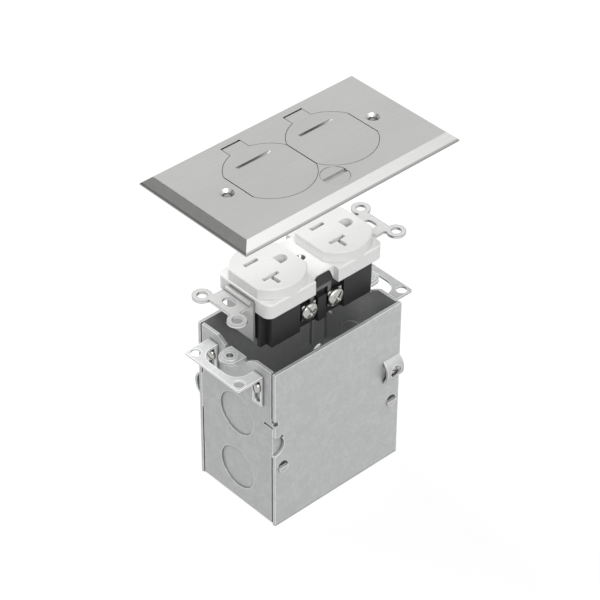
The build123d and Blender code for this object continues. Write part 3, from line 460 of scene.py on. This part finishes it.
def lathe(profile, segments):
    """A surface of revolution round Z: from axis to axis, or round a ring back to its start."""
    mesh = bmesh.new()
    rows = []
    for radius, height in profile:
        if radius == 0:
            rows.append([mesh.verts.new((0, 0, height))])
            continue
        rows.append([
            mesh.verts.new((
                radius * math.cos(math.tau * k / segments),
                radius * math.sin(math.tau * k / segments),
                height,
            ))
            for k in range(segments)
        ])
    for upper, lower in zip(rows, rows[1:]):
        for k in range(segments):
            after = (k + 1) % segments
            if len(upper) == 1:
                mesh.faces.new((upper[0], lower[k], lower[after]))
            elif len(lower) == 1:
                mesh.faces.new((upper[k], lower[0], upper[after]))
            else:
                mesh.faces.new((upper[k], lower[k], lower[after], upper[after]))
    bmesh.ops.recalc_face_normals(mesh, faces=mesh.faces)
    return mesh


def object_of(name, mesh, matrix, sharp_angle=SHARP_ANGLE):
    """A scene object from a bmesh, placed by a matrix, smooth but for its sharp edges."""
    data = bpy.data.meshes.new(name)
    mesh.to_mesh(data)
    mesh.free()
    data.shade_smooth()
    data.set_sharp_from_angle(angle=sharp_angle)
    made = bpy.data.objects.new(name, data)
    made.matrix_world = matrix
    bpy.context.scene.collection.objects.link(made)
    return made


def cut(target, cutters):
    """Takes closed meshes away from an object, for good."""
    for cutter in cutters:
        modifier = target.modifiers.new("cut", "BOOLEAN")
        modifier.operation = "DIFFERENCE"
        modifier.solver = "EXACT"
        modifier.object = cutter
    bpy.context.view_layer.update()
    graph = bpy.context.evaluated_depsgraph_get()
    data = bpy.data.meshes.new_from_object(target.evaluated_get(graph))
    target.modifiers.clear()
    old = target.data
    name = old.name
    target.data = data
    bpy.data.meshes.remove(old)
    data.name = name
    for cutter in cutters:
        bpy.data.objects.remove(cutter)


def block(size, middle, matrix, turn):
    """A box-shaped cutter in the screw's own frame, turned about its axis."""
    mesh = bmesh.new()
    bmesh.ops.create_cube(mesh, size=1.0)
    bmesh.ops.scale(mesh, vec=size, verts=mesh.verts)
    bmesh.ops.translate(mesh, vec=middle, verts=mesh.verts)
    bmesh.ops.rotate(mesh, cent=(0, 0, 0), matrix=Matrix.Rotation(turn, 3, "Z"), verts=mesh.verts)
    return object_of("cutter", mesh, matrix)


def threaded_profile(radius, length, pitch):
    """Rings of a machine thread, from under the head down to the tip.
    The numbers are shares of the pitch or of the thread's depth."""
    depth = 0.5 * pitch
    rows = []
    height = -0.3 * pitch
    while height > -length + 1.2 * pitch:
        rows += [(radius, height), (radius, height - 0.2 * pitch)]
        rows += [(radius - depth, height - 0.6 * pitch), (radius - depth, height - 0.7 * pitch)]
        height -= pitch
    rows += [(radius - 0.4 * depth, height), (radius - depth, -length), (0, -length)]
    return rows


def threaded_hole(name, bottom, radius, depth):
    """A tapped thread that lines a round hole; bottom is the middle of its lower end.
    The numbers are shares of the pitch."""
    pitch = depth / TAPPED_TURNS
    inner = radius - 0.45 * pitch
    ring = [(radius, 0), (radius, depth), (radius - 0.1 * pitch, depth)]
    height = depth - 0.25 * pitch
    while height > 0.75 * pitch:
        ring += [(inner, height - 0.25 * pitch), (inner, height - 0.35 * pitch)]
        ring += [(radius - 0.1 * pitch, height - 0.85 * pitch)]
        height -= pitch
    ring += [(inner, 0), (radius, 0)]
    place = Matrix.Translation(Vector(bottom))
    return object_of(name, lathe(ring, HOLE_SEGMENTS), place, THREAD_SHARP_ANGLE)


def screw(name, seat, outward, turn, head, height, shank, length, cross):
    """A pan-head screw: seat is the middle of its seat, outward the way that its head faces.
    Head and shank are radii. A cross makes its plain slot a combination slot."""
    axis = Vector(outward)
    matrix = Matrix.Translation(Vector(seat)) @ axis.to_track_quat("Z", "X").to_matrix().to_4x4()
    profile = [(0, height)]
    profile += [(across * head, up * height) for across, up in PAN_HEAD]
    profile.append((shank, 0))
    profile += threaded_profile(shank, length, PITCH_SHARE * shank)
    made = object_of(name, lathe(profile, SCREW_SEGMENTS), matrix)
    cutters = [block((3 * head, SLOT_WIDTH * head, height), (0, 0, height), matrix, turn)]
    if cross:
        for quarter in (0, 1):
            cutters.append(block(
                (CROSS_LENGTH * head, CROSS_WIDTH * head, 1.5 * height), (0, 0, height),
                matrix, turn + quarter * math.pi / 2,
            ))
    cut(made, cutters)
    made.data.set_sharp_from_angle(angle=SHARP_ANGLE)
    return made


def dress(made, body, slot, *replaced, finish=None):
    """Gives a piece its body and its slot's finish or its own, and hides the CAD nodes that it stands
    for.
    """
    made.data.materials.clear()
    made.data.materials.append(FINISHES[slot] if finish is None else finish)
    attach(made, body)
    if replaced:
        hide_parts(*replaced)
    return made


def middle_of(low, high):
    """Half way between two numbers."""
    return (low + high) / 2


# Terminal screws: two on each pole, side by side along X
for pole, side, turns in (("neutral", -1, NEUTRAL_TURNS), ("hot", 1, HOT_TURNS)):
    node = pole + "_terminal_screws"
    low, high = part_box(node)
    head = (high.z - low.z) / 2
    seat_y = (low.y + TERMINAL_HEAD) if side < 0 else (high.y - TERMINAL_HEAD)
    length = (high.y - low.y) - TERMINAL_HEAD
    for k, x in enumerate((low.x + head, high.x - head)):
        made = screw(
            f"{pole}_terminal_screw_{k + 1}", (x, seat_y, middle_of(low.z, high.z)), (0, side, 0),
            turns[k], head, TERMINAL_HEAD, TERMINAL_THREAD, length, cross=True,
        )
        dress(made, "receptacle", slot_of_node[node], node)

# Ground screw
low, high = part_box("ground_terminal_screw")
head = (high.z - low.z) / 2
seat = Vector((middle_of(low.x, high.x), high.y - TERMINAL_HEAD, middle_of(low.z, high.z)))
made = screw(
    "ground_screw", seat, (0, 1, 0), GROUND_TURN, head, TERMINAL_HEAD, TERMINAL_THREAD,
    seat.y - low.y, cross=True,
)
dress(made, "receptacle", "ground_green", "ground_terminal_screw")

# Ear screws, two at each end of the box
for end, side in (("left", -1), ("right", 1)):
    node = "ear_screws_" + end
    low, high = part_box(node)
    head = (high.z - low.z) / 2
    seat_x = (low.x + BOX_HEAD) if side < 0 else (high.x - BOX_HEAD)
    for k, y in enumerate((low.y + head, high.y - head)):
        made = screw(
            f"ear_screw_{end}_{k + 1}", (seat_x, y, middle_of(low.z, high.z)), (side, 0, 0),
            EAR_TURNS[k], head, BOX_HEAD, BOX_THREAD, high.x - low.x - BOX_HEAD, cross=False,
        )
        dress(made, "box", "screw_steel", node)

# Side plate screws, under the loop lugs
low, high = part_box("side_plate_screws")
head = (high.z - low.z) / 2
for name, side in (("front", -1), ("back", 1)):
    x = high.x - head if side < 0 else low.x + head
    seat_y = (low.y + BOX_HEAD) if side < 0 else (high.y - BOX_HEAD)
    made = screw(
        f"side_plate_screw_{name}", (x, seat_y, middle_of(low.z, high.z)), (0, side, 0),
        SIDE_TURN, head, BOX_HEAD, BOX_THREAD, SIDE_SCREW_LENGTH, cross=False,
    )
    dress(made, "box", "screw_steel", "side_plate_screws")


# Threads in the holes of the device tabs, and in the receptacle's middle hole
for side, side_name in ((-1, "left"), (1, "right")):
    made = threaded_hole(
        f"tab_thread_{side_name}", (side * TAB_HOLE_X, 0, TAB_HOLE_BOTTOM),
        TAB_HOLE_RADIUS, TAB_HOLE_DEPTH,
    )
    dress(made, "box", "galvanised_steel", finish=shaded_thread_steel)
made = threaded_hole(
    "middle_thread", (0, 0, MIDDLE_HOLE_BOTTOM), MIDDLE_HOLE_RADIUS, MIDDLE_HOLE_DEPTH
)
dress(made, "receptacle", "strap_steel", finish=insert_steel)


# Studio: floor, sky, lamps and camera

def seen_directly(nodes, links):
    """1 for rays from the camera, from gloss and through glass, else 0."""
    path = nodes.new("ShaderNodeLightPath")
    total = path.outputs["Is Camera Ray"]
    for key in ("Is Glossy Ray", "Is Transmission Ray"):
        either = nodes.new("ShaderNodeMath")
        either.operation = "MAXIMUM"
        links.new(total, either.inputs[0])
        links.new(path.outputs[key], either.inputs[1])
        total = either.outputs[0]
    return total


def make_sky():
    """A plain white sky: dim as a light, full white where it is seen."""
    world = bpy.data.worlds.new("studio_sky")
    bpy.context.scene.world = world
    world.use_nodes = True
    nodes = world.node_tree.nodes
    links = world.node_tree.links
    ambient = nodes["Background"]
    ambient.inputs["Color"].default_value = (1, 1, 1, 1)
    ambient.inputs["Strength"].default_value = SKY_LEVEL
    white = nodes.new("ShaderNodeBackground")
    white.inputs["Color"].default_value = (1, 1, 1, 1)
    choice = nodes.new("ShaderNodeMixShader")
    links.new(seen_directly(nodes, links), choice.inputs[0])
    links.new(ambient.outputs[0], choice.inputs[1])
    links.new(white.outputs[0], choice.inputs[2])
    links.new(choice.outputs[0], nodes["World Output"].inputs["Surface"])


def make_floor():
    """Pale paper that takes shadows and looks as white as the sky."""
    mesh = bmesh.new()
    bmesh.ops.create_grid(mesh, x_segments=1, y_segments=1, size=FLOOR_HALF_WIDTH)
    floor = object_of("floor", mesh, Matrix.Translation((0, 0, -FLOOR_DROP)))
    material = bpy.data.materials.new("floor_paper")
    material.use_nodes = True
    nodes = material.node_tree.nodes
    links = material.node_tree.links
    paper = nodes["Principled BSDF"]
    paper.inputs["Base Color"].default_value = (FLOOR_TONE, FLOOR_TONE, FLOOR_TONE, 1)
    paper.inputs["Roughness"].default_value = 0.9
    paper.inputs["Specular IOR Level"].default_value = 0.1
    lift = nodes.new("ShaderNodeMath")
    lift.operation = "MULTIPLY"
    lift.inputs[1].default_value = FLOOR_LIFT
    links.new(seen_directly(nodes, links), lift.inputs[0])
    paper.inputs["Emission Color"].default_value = (1, 1, 1, 1)
    links.new(lift.outputs[0], paper.inputs["Emission Strength"])
    floor.data.materials.append(material)


def aim(place, target):
    """The turn of a lamp or card at this place that faces the target."""
    return (target - place).to_track_quat("-Z", "Y").to_matrix().to_4x4()


def area_lamp(name, direction, size, power, in_gloss=True):
    """A square lamp that stands in this direction from the object and faces it."""
    place = OBJECT_MIDDLE + Vector(direction).normalized() * LAMP_DISTANCE
    lamp = bpy.data.lights.new(name, "AREA")
    lamp.shape = "SQUARE"
    lamp.size = size
    lamp.energy = power
    made = bpy.data.objects.new(name, lamp)
    made.matrix_world = Matrix.Translation(place) @ aim(place, OBJECT_MIDDLE)
    made.visible_glossy = in_gloss
    bpy.context.scene.collection.objects.link(made)


def make_flag(direction, size):
    """A dark card, seen only in gloss, that gives the metal its dark side."""
    place = OBJECT_MIDDLE + Vector(direction).normalized() * LAMP_DISTANCE
    mesh = bmesh.new()
    bmesh.ops.create_grid(mesh, x_segments=1, y_segments=1, size=size / 2)
    matrix = Matrix.Translation(place) @ aim(place, OBJECT_MIDDLE)
    flag = object_of("dark_flag", mesh, matrix)
    material = bpy.data.materials.new("flag_felt")
    material.use_nodes = True
    felt = material.node_tree.nodes["Principled BSDF"]
    felt.inputs["Base Color"].default_value = (FLAG_TONE, FLAG_TONE, FLAG_TONE, 1)
    felt.inputs["Roughness"].default_value = 0.95
    flag.data.materials.append(material)
    flag.visible_camera = False
    flag.visible_diffuse = False
    flag.visible_shadow = False
    flag.visible_transmission = False


def make_camera():
    """The camera that took the photograph, from its place and three angles."""
    cos_elevation = math.cos(CAMERA_ELEVATION)
    ahead = Vector((
        -math.sin(CAMERA_AZIMUTH) * cos_elevation,
        math.cos(CAMERA_AZIMUTH) * cos_elevation,
        -math.sin(CAMERA_ELEVATION),
    ))
    level = ahead.cross(Vector((0, 0, 1))).normalized()
    upright = level.cross(ahead)
    right = level * math.cos(CAMERA_ROLL) + upright * math.sin(CAMERA_ROLL)
    up = upright * math.cos(CAMERA_ROLL) - level * math.sin(CAMERA_ROLL)
    turned = Matrix((right, up, -ahead)).transposed().to_4x4()
    data = bpy.data.cameras.new("photo_camera")
    data.lens = CAMERA_LENS
    data.sensor_width = CAMERA_SENSOR
    data.clip_end = CAMERA_REACH
    camera = bpy.data.objects.new("photo_camera", data)
    camera.matrix_world = Matrix.Translation(CAMERA_PLACE) @ turned
    bpy.context.scene.collection.objects.link(camera)
    bpy.context.scene.camera = camera


make_sky()
make_floor()
area_lamp("key_lamp", (0.13, -0.65, 0.75), size=1.2, power=4.7)
area_lamp("front_lamp", (-0.35, -0.69, 0.62), size=0.6, power=6.3)
area_lamp("back_lamp", (-0.15, 0.77, 0.62), size=0.8, power=13.0, in_gloss=False)
area_lamp("spark_lamp", (-0.10, 0.53, 0.84), size=0.3, power=1.0)
make_flag((-0.57, 0.57, 0.59), size=0.8)
make_camera()

bpy.context.scene.view_settings.view_transform = "Standard"
